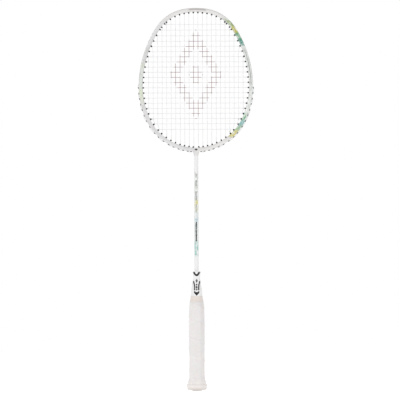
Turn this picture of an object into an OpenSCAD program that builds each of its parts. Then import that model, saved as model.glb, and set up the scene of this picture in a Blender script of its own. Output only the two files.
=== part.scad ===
// Badminton racket standing on its butt. +Z runs up the handle to the crown of
// the head, the string bed lies in the XZ plane, and the origin is the middle of
// the butt's lowest face. Lengths are in millimetres.

/* [Overall] */
// Length from the butt to the crown
overall_length = 675; // [670:1:680]

/* [Head] */
// Outer radius of the crown arc
crown_radius = 132; // [130:1:134]
// Outer radius of each shoulder arc
shoulder_radius = 73.5; // [73:0.5:74]
// Outer radius of each upper side arc
side_radius = 192; // [190:1:194]
// Outer radius of the arcs about the widest point
waist_radius = 146; // [144:1:148]
// Heading of the rim where the crown ends, 0 being level
crown_turn = 8; // [7.5:0.1:8.5]
// Heading where the shoulder ends
shoulder_turn = 57; // [56.8:0.1:57.2]
// Heading where the upper side ends
side_turn = 88; // [87.8:0.1:88.2]
// Heading where the throat arc begins
waist_turn = 113; // [112.5:0.1:113.5]

/* [Hoop section] */
// Width of the hoop, seen from the front
hoop_width = 6.8; // [6.6:0.1:7]
// Depth of the hoop, front to back
hoop_depth = 10.5; // [9.5:0.1:11.5]
// Thickness of the laminate
hoop_wall = 1; // [0.8:0.1:1.2]
// Depth of the string groove from the crown to the widest point
groove_depth = 1.5; // [1.3:0.1:1.6]
// Depth of the shallow channel from there to the throat
channel_depth = 0.4; // [0.3:0.1:0.6]

/* [Strings] */
// Diameter of the string
string_d = 0.7; // [0.65:0.01:0.72]
// Spacing of the 22 main strings
main_pitch = 7.93; // [7.88:0.01:7.98]
// Spacing of the 21 cross strings
cross_pitch = 9.09; // [9.07:0.01:9.11]
// Extra spacing between the first four crosses and before the last
end_gap = 0.8; // [0.7:0.1:0.9]
// Drop from the crown to the first cross string
first_cross = 28.9; // [28.7:0.1:29.1]

/* [Shaft] */
// Outer diameter of the shaft
shaft_d = 7; // [6.8:0.1:7.2]
// Inner diameter of the shaft
shaft_bore = 4.6; // [4.2:0.1:5]
// Height of the shaft's lower end, inside the handle
shaft_foot = 96; // [90:1:110]

/* [Handle] */
// Width of the wooden core between its flats
core_w = 24.4; // [24:0.1:24.8]
// Width over the grip wrap
grip_w = 28; // [27.6:0.1:28.4]
// Depth of every handle section, as a share of its width
depth_ratio = 0.91; // [0.88:0.01:0.94]
// Corner bevel of every handle section, as a share of its width
bevel_ratio = 0.272; // [0.25:0.002:0.28]
// Width of the butt cap's rim
rim_w = 35.6; // [35:0.1:36]
// Diameter of the badge under the butt cap
badge_d = 18; // [16:0.5:20]

/* [Hidden] */
eps = 0.01;
// Overshoot of a cut past the face it opens
cut = 1;
round_fn = 48;
arc_fn = 360;
cord_fn = 24;
badge_fn = 96;

// Head: arcs that meet with a common tangent, each listed by its heading range.
// The waist is split at the widest point, where the groove ends.
turns = [0, crown_turn, shoulder_turn, side_turn, 90, waist_turn, 180];
free_radii = [crown_radius, shoulder_radius, side_radius, waist_radius, waist_radius];
throat_arc = 5;
groove_arcs = 3;
function arc_reach(i) = free_radii[i] * (sin(turns[i + 1]) - sin(turns[i]));
function sum(v, i = 0) = i == len(v) ? 0 : v[i] + sum(v, i + 1);
// The throat arc closes the outline on the racket's axis
throat_radius = sum([for (i = [0:4]) arc_reach(i)]) / sin(waist_turn);
half_w = hoop_width / 2;
// Every other arc is thicker by a hair and laps its neighbours, so that they join
lap_t = 0.02;
lap_turn = 0.3;
hoop_r = [for (r = concat(free_radii, [throat_radius])) r - half_w];
function arc_x(i) = i == 0 ? 0 : arc_x(i - 1) + hoop_r[i - 1] * (sin(turns[i]) - sin(turns[i - 1]));
function arc_drop(i) = i == 0 ? 0 : arc_drop(i - 1) + hoop_r[i - 1] * (cos(turns[i - 1]) - cos(turns[i]));
centre_x = [for (i = [0:throat_arc]) arc_x(i) - hoop_r[i] * sin(turns[i])];
centre_z = [for (i = [0:throat_arc]) overall_length - half_w - arc_drop(i) - hoop_r[i] * cos(turns[i])];
function arc_of(a) = [for (i = [0:throat_arc]) if (a <= turns[i + 1]) i][0];
// Point on the right half of the hoop at heading a, u outward of its centreline
function hoop_point(a, u, y = 0) =
    let (i = arc_of(a), r = hoop_r[i] + u)
    [centre_x[i] + r * sin(a), y, centre_z[i] + r * cos(a)];
head_bottom = hoop_point(180, half_w)[2];

// Grommets stand in the groove and reach just inside the hoop
tip_length = 2.4;
knee_gap = 0.4;
knee_u = -half_w - tip_length - knee_gap;
groove_flange_t = 0.5;
channel_flange_t = 1.4;
flange_d = 3.4;
barrel_d = 2.6;
barrel_bore = 1.6;
wide_barrel_d = 3;
wide_bore = 1.9;
drill_clearance = 0.1;
groove_w = 4;
string_r = string_d / 2;
lay_gap = 0.05;
brim_gap = 0.3;
function floor_u(a) = half_w + lap_t - (arc_of(a) <= groove_arcs ? groove_depth : channel_depth);
function flange_t(a) = arc_of(a) <= groove_arcs ? groove_flange_t : channel_flange_t;
function string_u(a) = floor_u(a) + flange_t(a) + string_r + lay_gap;

// Heading where the line x or z meets the radius u of the hoop
function heading_at_x(x, u, upper) =
    [for (i = [0:throat_arc])
        let (s = (x - centre_x[i]) / (hoop_r[i] + u), a = upper ? asin(s) : 180 - asin(s))
        if (abs(s) <= 1 && a >= turns[i] - eps && a <= turns[i + 1] + eps) a][0];
function heading_at_z(z, u) =
    [for (i = [0:throat_arc])
        let (c = (z - centre_z[i]) / (hoop_r[i] + u), a = acos(c))
        if (abs(c) <= 1 && a >= turns[i] - eps && a <= turns[i + 1] + eps) a][0];

// String lines: mains count 1 to 11 outward from the axis, crosses 1 to 21 down
mains = 11;
crosses = 21;
function main_x(k) = (k - 0.5) * main_pitch;
function cross_z(j) =
    overall_length - first_cross - (j - 1) * cross_pitch - end_gap * (min(j - 1, 3) + (j == crosses ? 1 : 0));
function cross_a(j) = heading_at_z(cross_z(j), knee_u);

// A hole is [heading, slant away from the axis, wide]. A main that ends beside a
// cross string shares that string's hole.
throat_slants = [26, 10, 4];
wide_crown_main = 7;
wide_throat_main = 8;
wide_crosses = [3, 5, 7, 18, 19, 20, 21];
// The holes of mains 7 and 8 are moved up the shoulder, clear of the first two crosses
shoulder_shift = 1.8;
function crown_hole(k) =
    let (a = heading_at_x(main_x(k), knee_u, true))
    [k > 6 ? a - shoulder_shift / hoop_r[1] * 180 / PI : a, 0, k == wide_crown_main];
function throat_slant(k) = k <= len(throat_slants) ? throat_slants[k - 1] : 0;
function throat_hole(k) = [heading_at_x(main_x(k), knee_u, false), throat_slant(k), k == wide_throat_main];
function cross_hole(j) = [cross_a(j), 0, len(search(j, wide_crosses)) > 0];
function top_hole(k) = k == 9 ? cross_hole(3) : k == 10 ? cross_hole(5) : k == 11 ? cross_hole(7)
    : crown_hole(k);
function bottom_hole(k) = k == 9 ? cross_hole(21) : k == 10 ? cross_hole(20) : k == 11 ? cross_hole(18)
    : throat_hole(k);
crown_holes = [for (k = [1:6]) crown_hole(k)];
shoulder_holes = concat([for (k = [7:8]) crown_hole(k)], [for (j = [1:6]) cross_hole(j)]);
side_holes = [for (j = [7:17]) cross_hole(j)];
lower_holes = concat([for (j = [18:21]) cross_hole(j)], [for (k = [7:8]) throat_hole(k)]);
throat_holes = [for (k = [1:6]) throat_hole(k)];

// Distance along a hole from its knee to the radius u, and the heading there
function hole_reach(h, u) =
    let (r = hoop_r[arc_of(h[0])] + knee_u, b = r * cos(h[1]), q = hoop_r[arc_of(h[0])] + u)
    sqrt(b * b + q * q - r * r) - b;
function hole_exit(h, u) =
    let (i = arc_of(h[0]), r = hoop_r[i] + knee_u, l = hole_reach(h, u))
    atan2(r * sin(h[0]) + l * sin(h[0] - h[1]), r * cos(h[0]) + l * cos(h[0] - h[1]));

module at_hole(h) translate(hoop_point(h[0], knee_u)) rotate([0, h[0] - h[1], 0]) children();

module on_rim(a, u) translate(hoop_point(a, u)) rotate([0, a, 0]) children();

module both_sides() {
    children();
    mirror([1, 0, 0]) children();
}

// Sweeps a section along arc i from heading a to heading b
module sweep(i, a, b) {
    translate([centre_x[i], 0, centre_z[i]])
        rotate([90, 0, 0])
            rotate(90 - b)
                rotate_extrude(angle = b - a, $fn = arc_fn) translate([hoop_r[i], 0]) children();
}

// Bevelled box from u0 to u1 across and d deep
module bevelled(u0, u1, d, bevel) {
    v = d / 2;
    polygon([
        [u0, bevel - v], [u0 + bevel, -v], [u1 - bevel, -v], [u1, bevel - v],
        [u1, v - bevel], [u1 - bevel, v], [u0 + bevel, v], [u0, v - bevel]
    ]);
}

hoop_bevel = 2;
cavity_bevel = 1.2;
module hoop_section(depth, g = 0) {
    outer = half_w - depth - hoop_wall - g;
    difference() {
        bevelled(-half_w - g, half_w + g, hoop_depth + 2 * g, hoop_bevel);
        bevelled(hoop_wall - half_w + g, outer, hoop_depth - 2 * hoop_wall - 2 * g, cavity_bevel);
        translate([half_w - depth + g, g - groove_w / 2]) square([2 * depth, groove_w - 2 * g]);
    }
}

module hoop() {
    sweep(0, -turns[1], turns[1]) hoop_section(groove_depth);
    both_sides() {
        sweep(1, turns[1] - lap_turn, turns[2] + lap_turn) hoop_section(groove_depth, lap_t);
        sweep(2, turns[2], turns[3]) hoop_section(groove_depth);
        sweep(3, turns[3] - lap_turn, turns[4] + lap_turn) hoop_section(groove_depth, lap_t);
        sweep(4, turns[4], turns[5]) hoop_section(channel_depth);
    }
    sweep(throat_arc, turns[5] - lap_turn, 360 - turns[5] + lap_turn) hoop_section(channel_depth, lap_t);
}

module drill(h) {
    d = (h[2] ? wide_barrel_d : barrel_d) + drill_clearance;
    at_hole(h) cylinder(d = d, h = 4 * hoop_width, center = true, $fn = round_fn);
}

// Painted laminate hoop with the fairing that takes the shaft
fairing_foot = head_bottom - 8.5;
fairing_top = head_bottom + hoop_wall / 2;
fairing_depth = hoop_depth - 2 * hoop_bevel;
fairing_span = 20;
fairing_profile = [
    [0, fairing_foot], [3.95, fairing_foot], [4.6, fairing_foot + 3], [5.2, fairing_foot + 5.5],
    [5.8, head_bottom], [5.8, fairing_top], [0, fairing_top]
];
module frame() {
    color("gainsboro")
        difference() {
            union() {
                hoop();
                intersection() {
                    rotate_extrude($fn = round_fn) polygon(fairing_profile);
                    translate([0, 0, head_bottom])
                        cube([fairing_span, fairing_depth, fairing_span], center = true);
                }
            }
            both_sides()
                for (h = concat(crown_holes, shoulder_holes, side_holes, lower_holes, throat_holes)) drill(h);
            translate([0, 0, fairing_foot - cut])
                cylinder(d = shaft_d, h = head_bottom - fairing_foot + cut, $fn = round_fn);
            translate([0, 0, fairing_foot])
                cylinder(d = shaft_bore, h = head_bottom - fairing_foot + hoop_wall + cut, $fn = round_fn);
        }
}

// Bonded joint: arms inside the hoop, stem inside the shaft
arm_span = 11;
arm_depth = 5.6;
stem_length = 32;
stem_into_arms = 2.4;
module t_joint() {
    inner_u = hoop_wall - half_w + lap_t;
    outer_u = half_w - channel_depth - hoop_wall - lap_t;
    color("dimgray")
        difference() {
            union() {
                sweep(throat_arc, 180 - arm_span, 180 + arm_span)
                    translate([inner_u, -arm_depth / 2]) square([outer_u - inner_u, arm_depth]);
                translate([0, 0, head_bottom - stem_length])
                    cylinder(d = shaft_bore, h = stem_length + stem_into_arms, $fn = round_fn);
            }
            both_sides() for (k = [1:2]) drill(throat_holes[k - 1]);
        }
}

module shaft() {
    color("whitesmoke")
        translate([0, 0, shaft_foot])
            difference() {
                cylinder(d = shaft_d, h = head_bottom - shaft_foot, $fn = round_fn);
                translate([0, 0, -cut]) cylinder(d = shaft_bore, h = head_bottom, $fn = round_fn);
            }
}

// Handle solids: eight-sided rings [height, width] joined into one body
function ring(z, w) =
    let (x = w / 2, y = x * depth_ratio, c = w * bevel_ratio)
    [[x, y - c, z], [x - c, y, z], [c - x, y, z], [-x, y - c, z],
     [-x, c - y, z], [c - x, -y, z], [x - c, -y, z], [x, c - y, z]];
module loft(levels) {
    top = len(levels) - 1;
    sides = [for (i = [0:top - 1], s = [0:7])
        [8 * i + s, 8 * i + 8 + s, 8 * i + 8 + (s + 1) % 8, 8 * i + (s + 1) % 8]];
    polyhedron(
        points = [for (l = levels) each ring(l[0], l[1])],
        faces = concat([[for (s = [0:7]) s]], sides, [[for (s = [0:7]) 8 * top + 7 - s]])
    );
}

core_foot = 4;
core_taper = 139;
core_head = 162;
core_head_w = 20.2;
core_socket = 80;
socket_d = 9;
module handle_core() {
    color("burlywood")
        difference() {
            loft([[core_foot, core_w], [core_taper, core_w], [core_head, core_head_w]]);
            translate([0, 0, shaft_foot]) cylinder(d = shaft_d, h = core_head, $fn = round_fn);
            translate([0, 0, core_foot - cut]) cylinder(d = socket_d, h = core_socket, $fn = round_fn);
            staple(0);
        }
}

// Moulded cap over the shaft's entry, round above and eight-sided at its foot
cone_top = 210.5;
cone_profile = [
    [3.5, core_head], [10.8, core_head], [10.2, 170], [9.7, 176.6], [8.7, 180.5], [8, 184], [7.4, 190],
    [6.5, 194.2], [5.9, 198], [6.25, 202], [6.4, 206], [6.9, 209], [6.9, cone_top], [3.5, cone_top]
];
cone_hollow = [[0, core_head - cut], [8.2, core_head - cut], [8.2, 172], [6, 184], [4.4, 190], [0, 190]];
cone_flats = [[core_head - cut, 21.2], [167, 20], [176.6, 19.6], [190, 22], [cone_top + cut, 22]];
module cone_cap() {
    color("white")
        difference() {
            intersection() {
                rotate_extrude($fn = round_fn) polygon(cone_profile);
                loft(cone_flats);
            }
            rotate_extrude($fn = round_fn) polygon(cone_hollow);
        }
}

// Grip: a sleeve over the core that flares over the butt cap's collar
grip_foot = 11.5;
grip_head = 158;
grip_head_w = 23.5;
collar = [[grip_foot, 30], [17, 27.9], [22, 25.4]];
grip_levels = [
    [grip_foot, 33.8], [14.3, 32.8], [17.8, 31.6], [20, 29.4], [23, 28.4], [28, grip_w], [130, grip_w],
    [143, 27.4], [150, 26.6], [155, 25], [grip_head, grip_head_w]
];
core_w_at_grip_head = core_w - (core_w - core_head_w) * (grip_head - core_taper) / (core_head - core_taper);
grip_bore = concat([[grip_foot - cut, 30.4]], collar, [
    [24, core_w], [core_taper, core_w], [grip_head, core_w_at_grip_head],
    [grip_head + cut, core_w_at_grip_head - 0.2]
]);
staple_z = 34;
staple_leg = 5;
staple_wire = 0.6;
staple_w = 6;
staple_clearance = 0.1;
module staple(extra) {
    t = staple_wire + 2 * extra;
    y = core_w * depth_ratio / 2;
    translate([-staple_w / 2 - extra, y, staple_z - t / 2]) cube([staple_w + 2 * extra, t - extra, t]);
    for (s = [-1, 1])
        translate([s * (staple_w - staple_wire) / 2, y - staple_leg, staple_z])
            rotate([-90, 0, 0]) cylinder(d = t, h = staple_leg + t / 2, $fn = cord_fn);
}
module grip_wrap() {
    color("whitesmoke")
        difference() {
            loft(grip_levels);
            loft(grip_bore);
            staple(staple_clearance);
        }
}

module grip_staple() color("silver") staple(0);

// Tape that closes the top of the grip onto the cone cap
tape_t = 0.2;
tape_levels = [[157.2, 24.5], [159.5, 23], [162.5, 21.8], [167, 20.7]];
tape_bore = concat([[156.2, 25.1]], tape_levels, [[168, 20.5]]);
module finishing_tape() {
    color("antiquewhite")
        difference() {
            loft(tape_levels);
            loft([for (l = tape_bore) [l[0], l[1] - 2 * tape_t]]);
        }
}

cap_foot = 1.8;
cap_levels = concat([[cap_foot, 31.2], [3.7, 33.6], [5.5, rim_w], [10.6, rim_w], [grip_foot, 34.6]], collar);
pocket_top = 30;
badge_t = 2.4;
badge_bevel_w = 1;
badge_bevel_h = 0.8;
module butt_cap() {
    color("mistyrose")
        difference() {
            loft(cap_levels);
            loft([[core_foot, core_w], [pocket_top, core_w]]);
            translate([0, 0, cap_foot - cut])
                cylinder(d = badge_d, h = badge_t - cap_foot + cut, $fn = badge_fn);
        }
}

module butt_badge() {
    color("lightgray")
        rotate_extrude($fn = badge_fn)
            polygon([
                [0, 0], [badge_d / 2 - badge_bevel_w, 0], [badge_d / 2, badge_bevel_h],
                [badge_d / 2, badge_t], [0, badge_t]
            ]);
}

// One grommet: barrel along its hole and flange on the groove floor
module grommet(h) {
    bore = h[2] ? wide_bore : barrel_bore;
    u = floor_u(h[0]);
    difference() {
        union() {
            at_hole(h)
                translate([0, 0, knee_gap])
                    cylinder(
                        d = h[2] ? wide_barrel_d : barrel_d,
                        h = hole_reach(h, u + flange_t(h[0]) / 2) - knee_gap, $fn = round_fn
                    );
            on_rim(hole_exit(h, u), u) cylinder(d = flange_d, h = flange_t(h[0]), $fn = round_fn);
        }
        at_hole(h) cylinder(d = bore, h = 2 * hoop_width, $fn = round_fn);
    }
}

module grommets(holes) color([0.2, 0.2, 0.22]) for (h = holes) grommet(h);

module grommets_crown() both_sides() grommets(crown_holes);

module grommets_shoulder_left() mirror([1, 0, 0]) grommets(shoulder_holes);

module grommets_shoulder_right() grommets(shoulder_holes);

module grommets_side_left() mirror([1, 0, 0]) grommets(side_holes);

module grommets_side_right() grommets(side_holes);

module grommets_lower_left() mirror([1, 0, 0]) grommets(lower_holes);

module grommets_lower_right() grommets(lower_holes);

// The slanted barrels are trimmed to the flanges' outer face
module grommets_throat() {
    intersection() {
        both_sides() grommets(throat_holes);
        translate([0, 0, centre_z[throat_arc]])
            rotate([90, 0, 0])
                cylinder(
                    r = hoop_r[throat_arc] + floor_u(180) + flange_t(180), h = 4 * flange_d, center = true,
                    $fn = arc_fn
                );
    }
}

// Strings. The mains are round between the hoop's sides. Where the string bends or
// weaves its section is a square of the same area. Mains pass behind the middle of a
// hole and crosses in front of it, so that two fit through a shared hole and side by
// side in the groove.
cord_side = string_d * sqrt(PI) / 2;
side_step = 0.42;
main_y = -side_step;
cross_y = side_step;
short_lead = 2.4;
long_lead = 5;
weave = 0.67;
overlap = 0.35;
knot_r = 0.9;
rim_step = 2.5;
knot_gap = 0.1;
main_tie_drop = 1.7;
cross_tie_run = 2.2;
clear_of_knee = 1;
// A knot's middle, beside the string that it is tied on
beside_string = string_r + knot_r + knot_gap;
function knee(h, y) = hoop_point(h[0], knee_u, y);
function reversed(v) = [for (i = [len(v) - 1:-1:0]) v[i]];
function flat(p) = [p[0], p[2]];

module rod(p, q) {
    d = q - p;
    l = norm(d);
    translate(p) rotate([0, acos(d[2] / l), atan2(d[1], d[0])]) cylinder(r = string_r, h = l, $fn = cord_fn);
}

// Flat band of the string's width along points given as [x, z], mitred at bends
function unit(v) = v / norm(v);
function left_of(v) = [-v[1], v[0]];
function mitre(p, i) =
    let (
        before = unit(p[max(i, 1)] - p[max(i, 1) - 1]),
        after = unit(p[min(i + 1, len(p) - 1)] - p[min(i, len(p) - 2)]),
        n = unit(left_of(before) + left_of(after))
    )
    n * cord_side / 2 / (n * left_of(before));
module band(p, y) {
    translate([0, y, 0])
        rotate([90, 0, 0])
            linear_extrude(cord_side, center = true)
                polygon(concat(
                    [for (i = [0:len(p) - 1]) p[i] + mitre(p, i)],
                    reversed([for (i = [0:len(p) - 1]) p[i] - mitre(p, i)])
                ));
}

// String out through one hole, along the rim and in through the next, from the
// start point to the end point inside the hoop. Past the groove's end it climbs onto
// the next, thicker flange before it reaches that flange's edge.
function rim_point(a, u) = flat(hoop_point(a, u));
function rim_points(a, b) =
    let (n = ceil((b - a) / rim_step), brim = (flange_d / 2 + brim_gap) / hoop_r[arc_of(b)] * 180 / PI)
    string_u(a) == string_u(b)
        ? [for (i = [0:n]) rim_point(a + (b - a) * i / n, string_u(a))]
        : [
            rim_point(a, string_u(a)), rim_point(90, half_w), rim_point(b - brim, string_u(b)),
            rim_point(b, string_u(b))
        ];
function loop_points(h, g) = concat(
    [flat(knee(h, 0))],
    rim_points(hole_exit(h, string_u(h[0])), hole_exit(g, string_u(g[0]))),
    [flat(knee(g, 0))]
);
// The point from which a string enters its hole, a little inside the knee
function inside(h) = flat(hoop_point(h[0], knee_u - overlap));

// Where a main starts into its hole: at the knee, or further in if the hole stands
// aside from the string's line, most of all where it is a cross string's hole
function aside(h, k) = h[2] || abs(knee(h, 0)[0] - main_x(k)) > eps;
function lead(h, k, s) = !aside(h, k) ? overlap : k > (s > 0 ? 8 : 9) ? long_lead : short_lead;
function main_turn(h, k, s) = [main_x(k), knee(h, 0)[2] + s * lead(h, k, s)];
module main_bar(k) {
    foot = main_turn(bottom_hole(k), k, 1);
    head = main_turn(top_hole(k), k, -1);
    rod([foot[0], 0, foot[1] - 2 * overlap], [head[0], 0, head[1] + 2 * overlap]);
}
module main_loop(h, k, g, n, s)
    band(concat([main_turn(h, k, s)], loop_points(h, g), [main_turn(g, n, s)]), main_y);

module half_main_string() {
    for (k = [1:mains]) main_bar(k);
    for (k = [2:2:mains - 1]) {
        main_loop(top_hole(k), k, top_hole(k + 1), k + 1, -1);
        main_loop(bottom_hole(k), k, bottom_hole(k - 1), k - 1, 1);
    }
    // Tie-off: back in beside cross 19 and knotted on the tenth main
    last = bottom_hole(mains);
    tie = cross_hole(19);
    knot = [main_x(mains - 1) + beside_string, main_y, cross_z(19) - main_tie_drop];
    band(concat([main_turn(last, mains, 1)], loop_points(last, tie)), main_y);
    rod(knee(tie, main_y), knot);
    translate(knot) sphere(r = knot_r, $fn = cord_fn);
}

module main_string() {
    a = hole_exit(top_hole(1), string_u(0));
    start = main_turn(top_hole(1), 1, -1);
    first = flat(knee(top_hole(1), 0));
    mirrored = [for (p = [start, first]) [-p[0], p[1]]];
    color("snow") {
        both_sides() half_main_string();
        band(concat(mirrored, rim_points(-a, a), [first, start]), main_y);
    }
}

// A cross: a flat zigzag over and under the mains that it meets
function meets(k, j) =
    knee(top_hole(k), 0)[2] > cross_z(j) + clear_of_knee
    && knee(bottom_hole(k), 0)[2] < cross_z(j) - clear_of_knee;
function met(j) = len([for (k = [1:mains]) if (meets(k, j)) k]);
function weave_points(j) =
    let (n = met(j), e = knee(cross_hole(j), 0)[0] + overlap)
    concat(
        [[-e, cross_y]],
        [for (m = [-n:n - 1]) [(m + 0.5) * main_pitch, (m + j) % 2 == 0 ? weave : -weave]],
        [[e, cross_y]]
    );
module cross_bar(j) {
    p = weave_points(j);
    h = cord_side / 2;
    translate([0, 0, cross_z(j) - h])
        linear_extrude(cord_side)
            polygon(concat([for (q = p) [q[0], q[1] - h]], [for (q = reversed(p)) [q[0], q[1] + h]]));
}
module cross_loop(h, g) band(concat([inside(h)], loop_points(h, g), [inside(g)]), cross_y);

// End of the cross string, knotted inside the hoop
module tie_end(h, knot) {
    rod(knee(h, cross_y), knot);
    translate(knot) sphere(r = knot_r, $fn = cord_fn);
}

module cross_string() {
    first = top_hole(wide_crown_main);
    last = bottom_hole(wide_throat_main);
    color("snow") {
        for (j = [1:crosses]) cross_bar(j);
        for (j = [1:2:crosses - 2]) cross_loop(cross_hole(j), cross_hole(j + 1));
        cross_loop(cross_hole(crosses), last);
        tie_end(last, [main_x(wide_throat_main) - beside_string, cross_y, knee(last, 0)[2] + cross_tie_run]);
        mirror([1, 0, 0]) {
            cross_loop(first, cross_hole(1));
            for (j = [2:2:crosses - 1]) cross_loop(cross_hole(j), cross_hole(j + 1));
            tie_end(
                first, [main_x(wide_crown_main) - beside_string, cross_y, knee(first, 0)[2] - cross_tie_run]
            );
        }
    }
}

frame();
t_joint();
shaft();
cone_cap();
finishing_tape();
handle_core();
grip_wrap();
grip_staple();
butt_cap();
butt_badge();
grommets_crown();
grommets_shoulder_left();
grommets_shoulder_right();
grommets_side_left();
grommets_side_right();
grommets_lower_left();
grommets_lower_right();
grommets_throat();
main_string();
cross_string();
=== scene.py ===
"""Badminton racket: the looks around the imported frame.

Lengths are in millimetres in the racket's own frame (+Z up the handle, string bed in XZ)
until mesh_object() turns them into metres.
"""
import math

import bmesh
import bpy
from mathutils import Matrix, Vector


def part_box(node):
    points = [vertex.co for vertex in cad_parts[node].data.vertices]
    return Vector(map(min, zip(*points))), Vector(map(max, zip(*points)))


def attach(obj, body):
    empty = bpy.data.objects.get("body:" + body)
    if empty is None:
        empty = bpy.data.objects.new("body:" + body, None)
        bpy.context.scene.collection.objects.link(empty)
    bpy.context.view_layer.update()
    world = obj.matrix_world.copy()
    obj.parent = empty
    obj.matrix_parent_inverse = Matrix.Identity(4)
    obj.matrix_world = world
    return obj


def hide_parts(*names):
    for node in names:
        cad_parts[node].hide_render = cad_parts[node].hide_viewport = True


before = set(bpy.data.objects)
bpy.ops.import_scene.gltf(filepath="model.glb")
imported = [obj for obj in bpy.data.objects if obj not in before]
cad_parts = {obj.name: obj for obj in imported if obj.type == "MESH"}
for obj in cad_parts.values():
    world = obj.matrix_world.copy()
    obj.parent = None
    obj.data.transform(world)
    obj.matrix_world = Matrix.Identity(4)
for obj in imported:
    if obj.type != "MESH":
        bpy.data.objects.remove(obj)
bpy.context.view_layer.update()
MM = 0.001


def top_of(node):
    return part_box(node)[1] / MM


def foot_of(node):
    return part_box(node)[0] / MM


# ---------------------------------------------------------------- head outline
# Arcs that meet with a common tangent, from the crown to the throat, as in the CAD.
TURNS = (0, 8, 57, 88, 90, 113, 180)
FREE_RADII = (132, 73.5, 192, 146, 146)
THROAT_ARC = 5
HOOP_WIDTH = 6.8
HOOP_DEPTH = 10.5
HALF_W = HOOP_WIDTH / 2
GROOVE_DEPTH = 1.5
CHANNEL_DEPTH = 0.4
GROOVE_ARCS = 3
OVERALL = top_of("frame").z


def sin_d(a):
    return math.sin(math.radians(a))


def cos_d(a):
    return math.cos(math.radians(a))


def arc_centres():
    reach = sum(r * (sin_d(TURNS[i + 1]) - sin_d(TURNS[i])) for i, r in enumerate(FREE_RADII))
    radii = [r - HALF_W for r in (*FREE_RADII, reach / sin_d(TURNS[THROAT_ARC]))]
    x, drop, centres = 0, 0, []
    for i, r in enumerate(radii):
        centres.append((x - r * sin_d(TURNS[i]), OVERALL - HALF_W - drop - r * cos_d(TURNS[i])))
        x += r * (sin_d(TURNS[i + 1]) - sin_d(TURNS[i]))
        drop += r * (cos_d(TURNS[i]) - cos_d(TURNS[i + 1]))
    return radii, centres


RADII, CENTRES = arc_centres()


def arc_of(a):
    return next(i for i in range(THROAT_ARC + 1) if a <= TURNS[i + 1])


def hoop_point(a, u, y=0.0):
    """Point at heading a on the hoop, u outward of its centreline. Negative headings are the left side."""
    side = -1 if a < 0 else 1
    i = arc_of(abs(a))
    r = RADII[i] + u
    return Vector((side * (CENTRES[i][0] + r * sin_d(abs(a))), y, CENTRES[i][1] + r * cos_d(abs(a))))


def heading_where(u, axis, value, upper=True):
    """Heading on the right side at which the radius u crosses the line x = value or z = value."""
    for i in range(THROAT_ARC + 1):
        share = (value - CENTRES[i][axis]) / (RADII[i] + u)
        if abs(share) > 1:
            continue
        a = math.degrees(math.asin(share) if axis == 0 else math.acos(share))
        if axis == 0 and not upper:
            a = 180 - a
        if TURNS[i] - 0.01 <= a <= TURNS[i + 1] + 0.01:
            return a
    raise ValueError(f"no heading at {value}")


# ---------------------------------------------------------------- strings and holes
MAINS = 11
CROSSES = 21
MAIN_PITCH = 7.93
CROSS_PITCH = 9.09
END_GAP = 0.8
FIRST_CROSS = 28.9
STRING_R = 0.35
KNEE_GAP = 0.4
TIP_LENGTH = 2.4
KNEE_U = -HALF_W - TIP_LENGTH - KNEE_GAP
GROOVE_FLANGE_T = 0.5
CHANNEL_FLANGE_T = 1.4
FLANGE_R = 1.7
BARREL_R = 1.3
BORE_R = 0.8
WIDE_BARREL_R = 1.5
WIDE_BORE_R = 0.95
DRILL_CLEARANCE = 0.05
STRING_GAP = 0.05
THROAT_SLANTS = (26, 10, 4)
SHOULDER_SHIFT = 1.8
# Mains with holes of their own, and the crosses whose holes the outer mains share
OWN_HOLES = 8
SHARED_ABOVE = {9: 3, 10: 5, 11: 7}
SHARED_BELOW = {9: 21, 10: 20, 11: 18}
# Where the strings start and end: mains for the cross string's ends, a cross for the main string's
CROSS_START = 7
CROSS_END = 8
MAIN_TIE = 19
WIDE_CROSSES = (3, 5, 7, 18, 19, 20, 21)
FIRST_SHOULDER_MAIN = 7


def main_x(k):
    return (k - 0.5) * MAIN_PITCH


def cross_z(j):
    return OVERALL - FIRST_CROSS - (j - 1) * CROSS_PITCH - END_GAP * (min(j - 1, 3) + (j == CROSSES))


class Hole:
    """A grommet hole on the right side, at heading a, slanted away from the axis, wide for two strings."""

    def __init__(self, a, slant, wide):
        self.a, self.slant, self.wide = a, slant, wide
        self.knee = hoop_point(a, KNEE_U)
        self.axis = Vector((sin_d(a - slant), 0, cos_d(a - slant)))
        grooved = arc_of(a) <= GROOVE_ARCS
        self.floor = HALF_W - (GROOVE_DEPTH if grooved else CHANNEL_DEPTH)
        self.flange_t = GROOVE_FLANGE_T if grooved else CHANNEL_FLANGE_T
        self.string_u = self.floor + self.flange_t + STRING_R + STRING_GAP

    def reach(self, u):
        """Length of the hole's axis from the knee to the radius u."""
        i = arc_of(self.a)
        r, q = RADII[i] + KNEE_U, RADII[i] + u
        b = r * cos_d(self.slant)
        return math.sqrt(b * b + q * q - r * r) - b

    def exit(self, u):
        """Heading at which the hole's axis reaches the radius u."""
        r, run = RADII[arc_of(self.a)] + KNEE_U, self.reach(u)
        x = r * sin_d(self.a) + run * self.axis.x
        z = r * cos_d(self.a) + run * self.axis.z
        return math.degrees(math.atan2(x, z))


def crown_hole(k):
    a = heading_where(KNEE_U, 0, main_x(k))
    if k >= FIRST_SHOULDER_MAIN:
        a -= math.degrees(SHOULDER_SHIFT / RADII[1])
    return Hole(a, 0, k == CROSS_START)


def throat_hole(k):
    slant = THROAT_SLANTS[k - 1] if k <= len(THROAT_SLANTS) else 0
    return Hole(heading_where(KNEE_U, 0, main_x(k), upper=False), slant, k == CROSS_END)


def cross_hole(j):
    return Hole(heading_where(KNEE_U, 1, cross_z(j)), 0, j in WIDE_CROSSES)


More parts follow.
